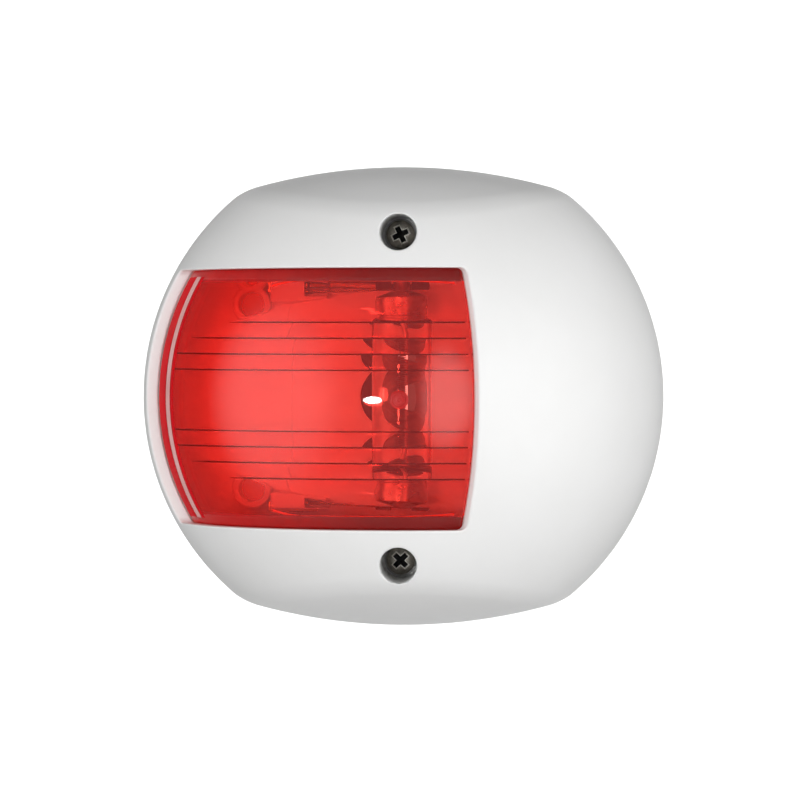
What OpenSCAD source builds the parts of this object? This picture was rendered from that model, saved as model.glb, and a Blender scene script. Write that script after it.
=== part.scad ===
// Red port sidelight for a small boat, screwed flat to a bulkhead or cabin side.
// A domed cover with a Fresnel lens plugs over a flat back plate that carries a
// festoon bulb between two spring leaves. Millimetres.
//
// Frame: +Z is up, +X is to the right as seen from the front, the front faces -Y,
// and the origin is the middle of the flat back face, which rests on the wall at Y = 0.
// The modules are drawn lying on their backs, with x to the right, y up and z towards
// the front, and facing_front() stands them up.

/* [Housing] */
// Diameter of the dome and of the round ends of the outline
body_diameter = 88; // [87:0.5:92]
// Height of the outline at its middle
body_height = 77.4; // [76.4:0.2:80]
// Radius of the arched top and bottom edges, seen from the front
arch_radius = 93; // [88:1:105]
// Radius of the arched top and bottom faces, seen from the side
brow_radius = 66; // [64:1:80]
// Wall thickness of the cover
cover_wall = 2; // [1.8:0.1:2.2]
// Thickness of the back plate's flange
plate_thickness = 1.8; // [1.6:0.1:2]
// Thickness of the seal that the cover lands on
cover_seal_thickness = 0.8; // [0.6:0.1:1]

/* [Window and lens] */
// Height of the window above and below the middle
window_half_height = 21; // [19.8:0.1:21]
// Angle of the window's aft edge past straight out, as the rule for sidelights sets it
aft_angle = 22.5; // [18:0.5:25]
// Wall thickness of the lens
lens_wall = 2.45; // [2:0.05:2.6]
// Distance from the middle of the lens to its first Fresnel step
first_step = 4.8; // [4.5:0.1:5.1]
// Height of one Fresnel step along the lens
step_pitch = 2.5; // [2.3:0.05:2.6]
// Fresnel steps above the middle, and the same below it
step_count = 4; // [3:1:4]
// How far the first Fresnel step stands in from the lens wall
step_height = 0.65; // [0.5:0.05:1]
// How much further each step stands in than the one before
step_growth = 0.15; // [0:0.05:0.3]

/* [Bulb] */
// Length of the festoon bulb over its two contact tips
bulb_length = 36; // [35.6:0.1:36.2]
// Diameter of the bulb's metal end caps
cap_diameter = 8.5; // [8.2:0.1:8.7]
// Diameter of the bulb's glass
glass_diameter = 10; // [9.4:0.2:10.4]
// Distance of the bulb's axis from the wall
bulb_depth = 10.5; // [10.5:0.1:11]

/* [Fixings] */
// Distance between the mounting holes, side to side
mount_spacing_x = 50.8; // [50.8:0.2:54]
// Distance between the mounting holes, top to bottom
mount_spacing_z = 31; // [30.4:0.2:33]
// Diameter of the mounting holes
mount_hole_diameter = 4.2; // [3.6:0.1:4.4]
// Distance of each cover screw above or below the middle
screw_offset = 26.8; // [26.7:0.1:27.2]
// Diameter of the deep holes that the cover screws sit in
screw_well_diameter = 6; // [5.8:0.1:6.2]
// Diameter of the cover screws' heads
screw_head_diameter = 4.7; // [4.4:0.1:5]
// Length of the cover screws under the head
screw_length = 11.5; // [10.5:0.1:12.5]
// Diameter of the cable that the grommet seals on
cable_diameter = 4.8; // [4:0.2:5]

/* [Hidden] */
$fn = 96;

eps = 0.01;
far = 120; // Longer than anything on the light
mate = 0.05; // Gap between two pieces that are fixed together

body_r = body_diameter / 2;
arch_centre = arch_radius - body_height / 2;

// Back plate
plate_inset = 0.6;
spigot_inset = cover_wall + 0.35;
spigot_wall = 1.6;
spigot_front = 5.2;
panel_width = 37.6;
panel_height = 40;
panel_front = plate_thickness + 0.6;
collar_r = 3.25;
collar_front = 5;
base_seal_depth = 1;
base_seal_inset = [3.2, 5.8]; // Outer and inner edges of the seal, in from the outline
pillar_r = 3.5;
pillar_front = 15.2;
pilot_depth = 4.2; // Distance of the pilot hole's bottom from the wall
rib_width = 1.2;
rib_front = 9;

// Cable grommet
grommet_x = -1.9;
grommet_r = 5.3;
grommet_lip_r = 4.6;
grommet_neck_r = 3.4;
grommet_lip = 0.7;
grommet_front = 4.8;
grommet_bore_r = cable_diameter / 2;

// Contact blocks, one above and one below, measured on the upper one
block_x = [-21.9, -12.4];
block_y = [15.8, 18.6];
block_front = 9.5;
slot_x = -16.2;
slot_y = [16.8, 18.4];
slot_back = 6.4;
tunnel_y = [17.3, 17.9]; // Slit from the block's left end to the slot, for the terminal
tunnel_z = [4.5, 8.3];

// Terminals and the rivets through them, measured on the upper one
strip_thickness = 0.4;
terminal_inner_y = 17.4;
terminal_z = [4.6, 8.2];
terminal_end = -14.2;
wire_hole_x = -15.2;
wire_hole_r = 0.6;
rivet_x = -18.7;
rivet_z = 6.4;
rivet_shank_r = 0.8;
rivet_head_r = 2.1;
rivet_head_height = 0.75;
rivet_tail_r = 1.4;
rivet_tail_height = 0.5;

// Contact leaves, measured on the upper one
leaf_thickness = 0.4;
leaf_inner_y = 17.4;
leaf_x = [-15.5, 4.6];
leaf_back = 7;
leaf_front = 12.3;
leaf_lip = 0.7;
fork_half_width = 1.65;

// Bulb, drawn along its axis from the middle up
cap_r = cap_diameter / 2;
cap_wall = 0.3;
cap_start = 9;
cap_shoulder = bulb_length / 2 - 2.4;
cap_nose = bulb_length / 2 - 0.8;
tip_r = 1.45;
glass_r = glass_diameter / 2;
glass_wall = 0.6;
glass_corner = 1.4;
glass_shoulder = 8.8;
neck_r = cap_r - cap_wall - mate;
neck_end = 12.5;
lead_r = 0.2;
lead_bend = 1.1;
filament_half = 5.5;
filament_r = 0.35;

// Cover
cover_back = plate_thickness + cover_seal_thickness + 0.1;
well_r = screw_well_diameter / 2;
tower_r = well_r + 1.3;
tower_back = pillar_front + 0.3;
well_floor = tower_back + 1.9;
screw_clearance_r = 1.45;

// Cover screws and their sealing washers
washer_thickness = 0.55;
washer_r = 2.65;
head_back = well_floor + washer_thickness + 2 * mate;
head_r = screw_head_diameter / 2;
head_height = 1.8;
head_edge = 0.9;
thread_r = 1.25;
core_r = 0.95;
thread_pitch = 1;
thread_start = 2.6; // Plain shank under the head
point_length = 1.2;
pilot_r = thread_r + 0.05;
cross_width = 0.85;
cross_reach = 1.45;
cross_depth = 1.2;

// Lens
lens_outer_r = body_r - cover_wall - mate;
lens_inner_r = lens_outer_r - lens_wall;
flange_reach = 1.3; // How far the lens runs on behind the edge of the window
flange_drop = 0.75; // Step down from the lens face to the flange under the seal
end_wall = 2.3; // Thickness of the lens's flat top and bottom walls
end_wall_back = 13.8;
gate_r = 1.5;
gate_height = 0.2;
steps_end = first_step + step_count * step_pitch;
fade_start = -38.6; // Left end of the first Fresnel step
fade_rate = 0.2; // How quickly the further steps die out towards the left

module facing_front() {
    rotate([90, 0, 0]) children();
}

// Both of a pair that is mirrored about the middle, seen from the front
module above_and_below() {
    children();
    mirror([0, 1, 0]) children();
}

module four_corners(spacing_x, spacing_y) {
    for (sx = [-1, 1], sy = [-1, 1])
        translate([sx * spacing_x / 2, sy * spacing_y / 2, 0]) children();
}

// A straight bar between two opposite corners
module block(low, high) {
    translate(low) cube(high - low);
}

// The light's outline, seen from the front: a circle with an arched top and bottom
module outline(inset) {
    intersection() {
        circle(r = body_r - inset);
        translate([0, arch_centre]) circle(r = arch_radius - inset);
        translate([0, -arch_centre]) circle(r = arch_radius - inset);
    }
}

module outline_ring(outer_inset, inner_inset) {
    difference() {
        outline(outer_inset);
        outline(inner_inset);
    }
}

// Barrel whose side is the arched top or bottom face of the cover
module brow_barrel(inset) {
    rotate_extrude()
        intersection() {
            translate([arch_radius - brow_radius, 0]) circle(r = brow_radius - inset);
            translate([0, -cover_wall]) square([arch_radius, body_r + 2 * cover_wall]);
        }
}

// The dome with its arched top and bottom, from a distance off the wall to the front
module dome(inset, back) {
    intersection() {
        sphere(r = body_r - inset);
        translate([0, arch_centre, 0]) brow_barrel(inset);
        translate([0, -arch_centre, 0]) brow_barrel(inset);
        block([-far, -far, back], [far, far, far]);
    }
}

// Space that the light shines through: a wedge from the bulb's axis, straight ahead on
// the left and aft_angle past straight out on the right, grown by a margin on each side
module sector(margin, half_height) {
    start = bulb_depth - margin;
    slant = margin / cos(aft_angle);
    rotate([90, 0, 0])
        linear_extrude(height = 2 * half_height, center = true)
            polygon([
                [slant - margin * tan(aft_angle), start],
                [slant + (far - bulb_depth) * tan(aft_angle), far],
                [-far, far],
                [-far, start]
            ]);
}

// ---- Back plate and what is fixed to it ----

// Puts what is made along z on the upper rivet's axis, from a distance above the middle
module along_rivet(from) {
    translate([rivet_x, from, rivet_z]) rotate([-90, 0, 0]) children();
}

module contact_block() {
    block([block_x[0], block_y[0], 1], [block_x[1], block_y[1], block_front]);
}

module contact_block_cuts() {
    block([slot_x, slot_y[0], slot_back], [block_x[1] + 1, slot_y[1], block_front + 1]);
    block([block_x[0] - 1, tunnel_y[0], tunnel_z[0]], [slot_x + 1, tunnel_y[1], tunnel_z[1]]);
    along_rivet(block_y[0] - 1) cylinder(r = rivet_shank_r + mate, h = 5);
    along_rivet(block_y[0] - 1) cylinder(r = rivet_tail_r + mate, h = 1 + mate + rivet_tail_height + mate);
}

// Pillar that a cover screw bites into, with a rib up to the rim
module screw_pillar() {
    translate([0, screw_offset, 1]) cylinder(r = pillar_r, h = pillar_front - 1);
    block([-rib_width / 2, screw_offset, 1], [rib_width / 2, body_height / 2 - 3.6, rib_front]);
}

module back_plate() {
    color("white")
        facing_front()
            difference() {
                union() {
                    linear_extrude(height = plate_thickness) outline(plate_inset);
                    linear_extrude(height = spigot_front)
                        outline_ring(spigot_inset, spigot_inset + spigot_wall);
                    block([-panel_width / 2, -panel_height / 2, 0.5],
                          [panel_width / 2, panel_height / 2, panel_front]);
                    four_corners(mount_spacing_x, mount_spacing_z)
                        cylinder(r = collar_r, h = collar_front);
                    above_and_below() contact_block();
                    above_and_below() screw_pillar();
                }
                translate([0, 0, -1])
                    linear_extrude(height = 1 + base_seal_depth)
                        outline_ring(base_seal_inset[0], base_seal_inset[1]);
                four_corners(mount_spacing_x, mount_spacing_z)
                    translate([0, 0, -1])
                        cylinder(r = mount_hole_diameter / 2, h = collar_front + 2);
                above_and_below() contact_block_cuts();
                above_and_below()
                    translate([0, screw_offset, pilot_depth])
                        cylinder(r = pilot_r, h = pillar_front);
                translate([grommet_x, 0, -1]) cylinder(r = grommet_neck_r + mate, h = 10);
                translate([grommet_x, 0, -1]) cylinder(r = grommet_lip_r + mate, h = 1 + grommet_lip + mate);
            }
}

// Foam ring between the back plate and the wall, in a groove in the plate's back
module base_seal() {
    color("dimgray")
        facing_front()
            linear_extrude(height = base_seal_depth - mate)
                outline_ring(base_seal_inset[0] + mate, base_seal_inset[1] - mate);
}

// Flat ring that the cover's rim presses on
module cover_seal() {
    color("gray")
        facing_front()
            translate([0, 0, plate_thickness + mate])
                linear_extrude(height = cover_seal_thickness - mate)
                    outline_ring(plate_inset + 0.2, spigot_inset - mate);
}

module cable_grommet() {
    color("black")
        facing_front()
            translate([grommet_x, 0, 0])
                rotate_extrude()
                    difference() {
                        union() {
                            square([grommet_lip_r, grommet_lip]);
                            square([grommet_neck_r, grommet_front - 1]);
                            translate([0, panel_front + mate]) square([grommet_r - 0.6, 1.2 - mate]);
                            translate([0, panel_front + mate]) square([grommet_r, 0.6 - mate]);
                            translate([grommet_r - 0.6, panel_front + 0.6]) circle(r = 0.6 - mate);
                            translate([0, panel_front])
                                square([grommet_neck_r, grommet_front - panel_front - 0.5]);
                            square([grommet_neck_r - 0.5, grommet_front]);
                            translate([grommet_neck_r - 0.5, grommet_front - 0.5]) circle(r = 0.5);
                        }
                        translate([-far, -1]) square([far + grommet_bore_r, far]);
                    }
}

// Brass strip bent round the left end of a contact block: its inner leg runs through the
// block to the leaf, and its outer leg has the hole that the wire is soldered in
module terminal() {
    left = block_x[0] - mate - strip_thickness;
    outer_y = block_y[1] + mate;
    difference() {
        union() {
            block([left, terminal_inner_y, terminal_z[0]],
                  [slot_x + 0.45, terminal_inner_y + strip_thickness, terminal_z[1]]);
            block([left, terminal_inner_y, terminal_z[0]],
                  [left + strip_thickness, outer_y + strip_thickness, terminal_z[1]]);
            block([left, outer_y, terminal_z[0]],
                  [terminal_end, outer_y + strip_thickness, terminal_z[1]]);
        }
        along_rivet(0) cylinder(r = rivet_shank_r + mate, h = far);
        translate([wire_hole_x, outer_y + 1, rivet_z])
            rotate([90, 0, 0]) cylinder(r = wire_hole_r, h = 2);
    }
}

module upper_terminal() {
    color("darkkhaki") facing_front() terminal();
}

module lower_terminal() {
    color("darkkhaki") facing_front() mirror([0, 1, 0]) terminal();
}

// Rivet across a contact block, through both legs of the terminal
module rivet() {
    head_at = block_y[1] + 2 * mate + strip_thickness;
    tail_at = block_y[0] + mate;
    along_rivet(tail_at) cylinder(r = rivet_tail_r, h = rivet_tail_height);
    along_rivet(tail_at) cylinder(r = rivet_shank_r, h = head_at - tail_at + eps);
    along_rivet(head_at) cylinder(r1 = rivet_head_r, r2 = rivet_head_r - 0.6, h = rivet_head_height);
}

module upper_rivet() {
    color("silver") facing_front() rivet();
}

module lower_rivet() {
    color("silver") facing_front() mirror([0, 1, 0]) rivet();
}

// Spring leaf: a strip that ends in a fork, open to the front, around the bulb's tip,
// with a lip that guides the bulb in
module leaf() {
    lip_from = -fork_half_width - 2.6;
    difference() {
        union() {
            block([leaf_x[0], leaf_inner_y, leaf_back],
                  [leaf_x[1], leaf_inner_y + leaf_thickness, leaf_front]);
            translate([lip_from, 0, 0])
                rotate([90, 0, 90])
                    linear_extrude(height = leaf_x[1] - lip_from)
                        polygon([
                            [leaf_inner_y, leaf_front - eps],
                            [leaf_inner_y + leaf_lip, leaf_front + leaf_lip],
                            [leaf_inner_y + leaf_lip + leaf_thickness, leaf_front + leaf_lip - 0.2],
                            [leaf_inner_y + leaf_thickness, leaf_front - 0.2]
                        ]);
        }
        translate([0, leaf_inner_y + leaf_lip, bulb_depth])
            rotate([90, 0, 0])
                cylinder(r = fork_half_width, h = 4, center = true);
        block([-fork_half_width, leaf_inner_y - 1, bulb_depth],
              [fork_half_width, leaf_inner_y + 3, leaf_front + 3]);
        block([leaf_x[0] - 1, leaf_inner_y - 1, block_front],
              [block_x[1] + 0.4, leaf_inner_y + 3, leaf_front + 3]);
    }
}

module upper_contact() {
    color("goldenrod") facing_front() leaf();
}

module lower_contact() {
    color("goldenrod") facing_front() mirror([0, 1, 0]) leaf();
}

// ---- Bulb ----

// Stands the bulb's drawings, made along z, on the bulb's axis
module on_bulb_axis() {
    facing_front()
        translate([0, 0, bulb_depth])
            rotate([-90, 0, 0])
                children();
}

// Half of the glass in section: a barrel with rounded shoulders and a neck for the cap
module glass_section(skin) {
    corner = glass_corner - skin;
    square([glass_r - glass_corner, glass_shoulder - skin]);
    square([glass_r - skin, glass_shoulder - glass_corner]);
    translate([glass_r - glass_corner, glass_shoulder - glass_corner]) circle(r = corner);
    square([neck_r - skin, neck_end - skin]);
}

module bulb_glass() {
    color("lightcyan", 0.4)
        on_bulb_axis()
            rotate_extrude()
                intersection() {
                    difference() {
                        union() {
                            glass_section(0);
                            mirror([0, 1]) glass_section(0);
                        }
                        glass_section(glass_wall);
                        mirror([0, 1]) glass_section(glass_wall);
                    }
                    translate([0, -far]) square([far, 2 * far]);
                }
}

// Metal cup on one end of the glass, with a conical nose
module bulb_cap() {
    rotate_extrude()
        polygon([
            [cap_r - cap_wall, cap_start],
            [cap_r, cap_start],
            [cap_r, cap_shoulder],
            [tip_r + 0.1, cap_nose],
            [tip_r + 0.1 - cap_wall, cap_nose],
            [tip_r + 0.1 - cap_wall, cap_nose - cap_wall],
            [cap_r - cap_wall, cap_shoulder - cap_wall]
        ]);
}

module upper_bulb_cap() {
    color("silver") on_bulb_axis() bulb_cap();
}

module lower_bulb_cap() {
    color("silver") on_bulb_axis() mirror([0, 0, 1]) bulb_cap();
}

// Blob of solder that closes a cap and touches the leaf
module bulb_tip() {
    dome_r = 1.7;
    rise = dome_r - sqrt(pow(dome_r, 2) - pow(tip_r, 2));
    translate([0, 0, cap_nose + mate]) {
        intersection() {
            cylinder(r = tip_r, h = bulb_length / 2 - cap_nose - mate);
            translate([0, 0, bulb_length / 2 - cap_nose - mate - dome_r]) sphere(r = dome_r);
        }
    }
    translate([0, 0, cap_nose - 1]) cylinder(r = tip_r - cap_wall, h = 1 + rise / 3);
}

module upper_bulb_tip() {
    color("lightgray") on_bulb_axis() bulb_tip();
}

module lower_bulb_tip() {
    color("lightgray") on_bulb_axis() mirror([0, 0, 1]) bulb_tip();
}

// Wire that carries one end of the filament, through the neck of the glass
module lead() {
    translate([0, 0, filament_half + mate]) cylinder(r = lead_r, h = neck_end - glass_wall - filament_half - 2 * mate);
    translate([0, 0, filament_half + lead_bend + mate]) sphere(r = filament_r + 0.15);
}

module upper_lead() {
    color("gray") on_bulb_axis() lead();
}

module lower_lead() {
    color("gray") on_bulb_axis() mirror([0, 0, 1]) lead();
}

// The coiled filament, drawn as the round bar that its coil fills
module filament() {
    color("dimgray")
        on_bulb_axis()
            cylinder(r = filament_r, h = 2 * filament_half, center = true);
}

// ---- Cover and what comes off with it ----

module front_cover() {
    color("white")
        facing_front()
            difference() {
                union() {
                    difference() {
                        dome(0, cover_back);
                        dome(cover_wall, cover_back - 1);
                    }
                    intersection() {
                        dome(cover_wall / 2, cover_back);
                        above_and_below()
                            translate([0, screw_offset, tower_back]) cylinder(r = tower_r, h = far);
                    }
                }
                sector(0, window_half_height);
                above_and_below()
                    translate([0, screw_offset, well_floor]) cylinder(r = well_r, h = far);
                above_and_below()
                    translate([0, screw_offset, 0]) cylinder(r = screw_clearance_r, h = far);
            }
}

// Fresnel steps of the lens in section, thick on the side nearest the middle
module fresnel_section() {
    function shell_r(y) = sqrt(pow(lens_inner_r, 2) - pow(y, 2));
    intersection() {
        circle(r = lens_inner_r + lens_wall / 3);
        above_and_below()
            polygon([
                [far, first_step],
                for (i = [0:step_count - 1])
                    let (y = first_step + i * step_pitch)
                        each [
                            [shell_r(y) - step_height - i * step_growth, y],
                            [shell_r(y + step_pitch), y + step_pitch]
                        ],
                [far, steps_end]
            ]);
    }
}

// Where the Fresnel steps show, seen from the front: the further ones end sooner
module fresnel_field() {
    function fade(y) = fade_start + fade_rate * pow(y - first_step, 2);
    aft = body_r * sin(aft_angle);
    linear_extrude(height = far)
        union() {
            above_and_below()
                polygon([
                    [aft, 0],
                    [fade_start, 0],
                    for (i = [0:step_count]) [fade(first_step + i * step_pitch), first_step + i * step_pitch],
                    [aft, steps_end]
                ]);
        }
}

module red_lens() {
    color("red", 0.6)
        facing_front()
            union() {
                // Shell, with a flange that steps down behind the edge of the window
                intersection() {
                    difference() {
                        sphere(r = lens_outer_r);
                        sphere(r = lens_inner_r);
                    }
                    sector(0, window_half_height);
                }
                intersection() {
                    difference() {
                        sphere(r = lens_outer_r - flange_drop);
                        sphere(r = lens_inner_r);
                    }
                    sector(flange_reach, window_half_height + flange_reach);
                }
                // Flat walls across the top and bottom
                intersection() {
                    sphere(r = lens_inner_r + 0.5);
                    sector(0, window_half_height - 0.15);
                    difference() {
                        block([-far, -far, end_wall_back], [far, far, far]);
                        block([-far, end_wall - window_half_height, 0],
                              [far, window_half_height - end_wall, far]);
                    }
                }
                // Fresnel steps
                intersection() {
                    rotate([-90, 0, 0]) rotate_extrude() fresnel_section();
                    fresnel_field();
                    sector(0, window_half_height);
                }
                // Mark where the plastic was fed into the mould
                translate([0, 0, lens_outer_r - 1])
                    difference() {
                        cylinder(r = gate_r, h = 1 + gate_height);
                        translate([0, 0, 1]) difference() {
                            cylinder(r = gate_r * 0.75, h = 1);
                            translate([0, 0, -1]) cylinder(r = gate_r * 0.45, h = 3);
                        }
                    }
            }
}

// Frame-shaped seal between the lens's flange and the inside of the cover
module lens_seal() {
    color("whitesmoke")
        facing_front()
            difference() {
                intersection() {
                    difference() {
                        sphere(r = lens_outer_r);
                        sphere(r = lens_outer_r - flange_drop + mate);
                    }
                    sector(flange_reach, window_half_height + flange_reach);
                }
                sector(0.1, window_half_height + 0.1);
            }
}

// Rubber washer under a cover screw's head
module screw_seal() {
    translate([0, screw_offset, well_floor + mate])
        difference() {
            cylinder(r = washer_r, h = washer_thickness);
            translate([0, 0, -1]) cylinder(r = thread_r + 0.07, h = 3);
        }
}

module upper_screw_seal() {
    color("black") facing_front() screw_seal();
}

module lower_screw_seal() {
    color("black") facing_front() mirror([0, 1, 0]) screw_seal();
}

// Thread-forming pan-head screw with a cross recess, drawn from its point to its head.
// Its thread is a row of ridges at the pitch.
module screw(turned) {
    ridges = floor((screw_length - thread_start - point_length) / thread_pitch);
    rotate([0, 0, turned])
        difference() {
            union() {
                translate([0, 0, -screw_length + point_length])
                    cylinder(r = core_r, h = screw_length - point_length + eps);
                translate([0, 0, -screw_length]) cylinder(r1 = 0.3, r2 = core_r, h = point_length + eps);
                translate([0, 0, -thread_start]) cylinder(r = thread_r - 0.05, h = thread_start + eps);
                for (i = [0:ridges - 1])
                    translate([0, 0, -thread_start - (i + 1) * thread_pitch]) {
                        cylinder(r1 = core_r - 0.05, r2 = thread_r, h = thread_pitch * 0.3);
                        translate([0, 0, thread_pitch * 0.3 - eps])
                            cylinder(r1 = thread_r, r2 = core_r - 0.05, h = thread_pitch * 0.3);
                    }
                rotate_extrude()
                    intersection() {
                        square([head_r, head_height]);
                        union() {
                            square([head_r, head_edge]);
                            translate([head_r - head_edge, head_edge]) circle(r = head_edge);
                            square([head_r - head_edge, head_height]);
                        }
                    }
            }
            for (turn = [0, 90])
                rotate([0, 0, turn])
                    block([-cross_reach, -cross_width / 2, head_height - cross_depth],
                          [cross_reach, cross_width / 2, head_height + 1]);
        }
}

module upper_cover_screw() {
    color("dimgray")
        facing_front()
            translate([0, screw_offset, head_back])
                screw(25);
}

module lower_cover_screw() {
    color("dimgray")
        facing_front()
            translate([0, -screw_offset, head_back])
                screw(45);
}

back_plate();
base_seal();
cover_seal();
cable_grommet();
upper_terminal();
lower_terminal();
upper_rivet();
lower_rivet();
upper_contact();
lower_contact();
bulb_glass();
upper_bulb_cap();
lower_bulb_cap();
upper_bulb_tip();
lower_bulb_tip();
upper_lead();
lower_lead();
filament();
front_cover();
red_lens();
lens_seal();
upper_screw_seal();
lower_screw_seal();
upper_cover_screw();
lower_cover_screw();
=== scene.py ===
"""Looks of a red port sidelight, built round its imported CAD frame.

Shapes are worked out in millimetres as (x, up, out): x to the right, up the wall, and out
from the wall towards the front. stand() turns them into the frame's metres, where the
front faces -Y.
"""
import math

import bmesh
import bpy
import numpy as np
import openvdb
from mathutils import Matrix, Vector


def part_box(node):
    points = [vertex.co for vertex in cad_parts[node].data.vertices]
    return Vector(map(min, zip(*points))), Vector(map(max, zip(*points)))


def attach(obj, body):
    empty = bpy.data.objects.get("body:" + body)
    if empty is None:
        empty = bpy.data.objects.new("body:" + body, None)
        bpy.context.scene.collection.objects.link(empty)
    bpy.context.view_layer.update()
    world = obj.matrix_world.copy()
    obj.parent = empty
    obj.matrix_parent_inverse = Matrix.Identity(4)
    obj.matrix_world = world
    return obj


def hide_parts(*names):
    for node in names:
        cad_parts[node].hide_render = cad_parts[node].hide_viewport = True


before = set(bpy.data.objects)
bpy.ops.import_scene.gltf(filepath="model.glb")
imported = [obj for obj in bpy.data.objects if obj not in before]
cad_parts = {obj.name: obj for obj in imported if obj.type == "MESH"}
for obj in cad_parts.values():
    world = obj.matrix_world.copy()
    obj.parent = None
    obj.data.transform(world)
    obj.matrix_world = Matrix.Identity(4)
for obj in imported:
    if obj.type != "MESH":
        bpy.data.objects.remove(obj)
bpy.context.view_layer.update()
MM = 0.001


# ---------------- sizes, from the frame

def span(node):
    """Lowest and highest corner of a CAD node as (x, up, out), in millimetres."""
    low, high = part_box(node)
    return (np.array([low.x, low.z, -high.y]) / MM, np.array([high.x, high.z, -low.y]) / MM)


cover_low, cover_high = span("front_cover")
plate_low, plate_high = span("back_plate")
glass_low, glass_high = span("bulb_glass")
cap_low, cap_high = span("upper_bulb_cap")
tip_low, tip_high = span("upper_bulb_tip")
leaf_low, leaf_high = span("upper_contact")
terminal_low, terminal_high = span("upper_terminal")
rivet_low, rivet_high = span("upper_rivet")
grommet_low, grommet_high = span("cable_grommet")
screw_low, screw_high = span("upper_cover_screw")
washer_low, washer_high = span("upper_screw_seal")
filament_high = span("filament")[1]
lead_low, lead_high = span("upper_lead")

COVER_BACK = cover_low[2]
BODY_R = math.hypot(cover_high[0], COVER_BACK)
BODY_HALF_HEIGHT = 38.7
ARCH_R = 93.0  # Top and bottom edges, seen from the front
BROW_R = 66.0  # Top and bottom faces, seen from the side
ARCH_CENTRE = ARCH_R - BODY_HALF_HEIGHT
COVER_WALL = 2.0
CREASE = 0.8  # Radius that the dome meets its top and bottom faces with

WINDOW_HALF = 21.0
AFT_ANGLE = math.radians(22.5)
BULB_OUT = (glass_low[2] + glass_high[2]) / 2

PLATE_FLANGE = 1.8
PLATE_INSET = 0.6
SPIGOT_INSET = COVER_WALL + 0.35
SPIGOT_WALL = 1.6
SPIGOT_OUT = 5.2
PANEL = np.array([18.8, 20.0])
PANEL_OUT = 2.4
COLLAR_AT = np.array([25.4, 15.5])
COLLAR_R = 3.25
COLLAR_OUT = 5.0
MOUNT_HOLE_R = 2.1
BLOCK_LOW = np.array([-21.9, 15.8, 1.0])
BLOCK_HIGH = np.array([-12.4, 18.6, 9.5])
SLOT_LOW = np.array([-16.2, 16.8, 6.4])
SLOT_HIGH = np.array([-11.0, 18.4, 12.0])
TUNNEL_LOW = np.array([-23.0, 17.3, 4.5])
TUNNEL_HIGH = np.array([-15.0, 17.9, 8.3])
STRIP = 0.4
RIVET_AT = ((rivet_low + rivet_high) / 2)[[0, 2]]
GROMMET_X = (grommet_low[0] + grommet_high[0]) / 2

SCREW_UP = (screw_low[1] + screw_high[1]) / 2
PILLAR_R = 3.5
PILLAR_OUT = plate_high[2]
PILOT_R = 1.3
WELL_R = 3.0
TOWER_R = 4.3
TOWER_BACK = PILLAR_OUT + 0.3
WELL_FLOOR = washer_low[2] - 0.05
SCREW_HOLE_R = 1.45
RIVET_HOLE_R = 0.85
RIVET_TAIL_R = 1.45
GROMMET_HOLE_R = 3.45
GROMMET_SEAT_R, GROMMET_SEAT_DEPTH = 4.65, 0.75
SEAL_GROOVE = (3.2, 5.8)  # Its two sides, in from the outline
SEAL_GROOVE_DEPTH = 1.0
HEAD_CROWN_R = 4.2
RECESS_REACH, RECESS_HALF_WIDTH, RECESS_DEPTH = 1.45, 0.44, 1.25

LENS_R = BODY_R - COVER_WALL - 0.05
GATE_X, GATE_UP = 0.35, -0.05
LENS_WALL = 2.45
LENS_INNER_R = LENS_R - LENS_WALL
FLANGE_REACH = 1.3
FLANGE_DROP = 0.75
END_WALL = 2.3
END_WALL_BACK = 13.8
END_WALL_DRAFT = 1.4  # How much thinner a flat end wall is at its back
FIRST_STEP = 4.8
STEP_PITCH = 2.5
STEPS = 4
STEP_HEIGHT = 0.55
STEP_GROWTH = 0.15
STEP_BULGE = 0.12
STEP_DROP = 0.3  # How far the steps' middle is below the lens's
STEP_START = -38.6  # Where the nearest step begins to fade in, to the left of the middle
STEP_START_GROWTH = 0.2
STEP_FADE_DELAY, STEP_FADE_LENGTH = 3, 15
RIBBON_HALF_LENGTH = 19.9


# ---------------- implicit solids
# A shape is a function of (x, up, out) that gives the distance to its surface, less
# than nothing inside it.

def overlap(a, b, radius=0.0):
    """Where both shapes are, with their shared edge rounded to a radius."""
    if not radius:
        return np.maximum(a, b)
    corner = np.hypot(np.maximum(a + radius, 0), np.maximum(b + radius, 0))
    return np.minimum(np.maximum(a, b), -radius) + corner


def join(a, b, radius=0.0):
    """Where either shape is, with a fillet of a radius in the corner between them."""
    return -overlap(-a, -b, radius)


def cut(a, b, radius=0.0):
    """The first shape less the second, with the cut's edge rounded to a radius."""
    return overlap(a, -b, radius)


def between(value, low, high):
    """The space between two planes across one axis."""
    return np.abs(value - (low + high) / 2) - (high - low) / 2


def box(x, up, out, low, high, radius=0.0):
    """A straight bar between two corners, with rounded edges."""
    middle = (np.asarray(low) + np.asarray(high)) / 2
    half = (np.asarray(high) - np.asarray(low)) / 2 - radius
    q = [np.abs(v - m) - h for v, m, h in zip((x, up, out), middle, half)]
    outside = np.sqrt(sum(np.maximum(v, 0) ** 2 for v in q))
    return outside + np.minimum(np.maximum(np.maximum(q[0], q[1]), q[2]), 0) - radius


def rod(x, up, out, at, r, back, front, radius=0.0):
    """A round bar that stands out from the wall."""
    side = np.hypot(x - at[0], up - at[1]) - r
    return overlap(side, between(out, back, front), radius)


def outline(x, up, inset):
    """The light's outline seen from the front: a circle with an arched top and bottom."""
    circle = np.hypot(x, up) - (BODY_R - inset)
    arch = np.hypot(x, np.abs(up) + ARCH_CENTRE) - (ARCH_R - inset)
    return overlap(circle, arch, 1.0)


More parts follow.
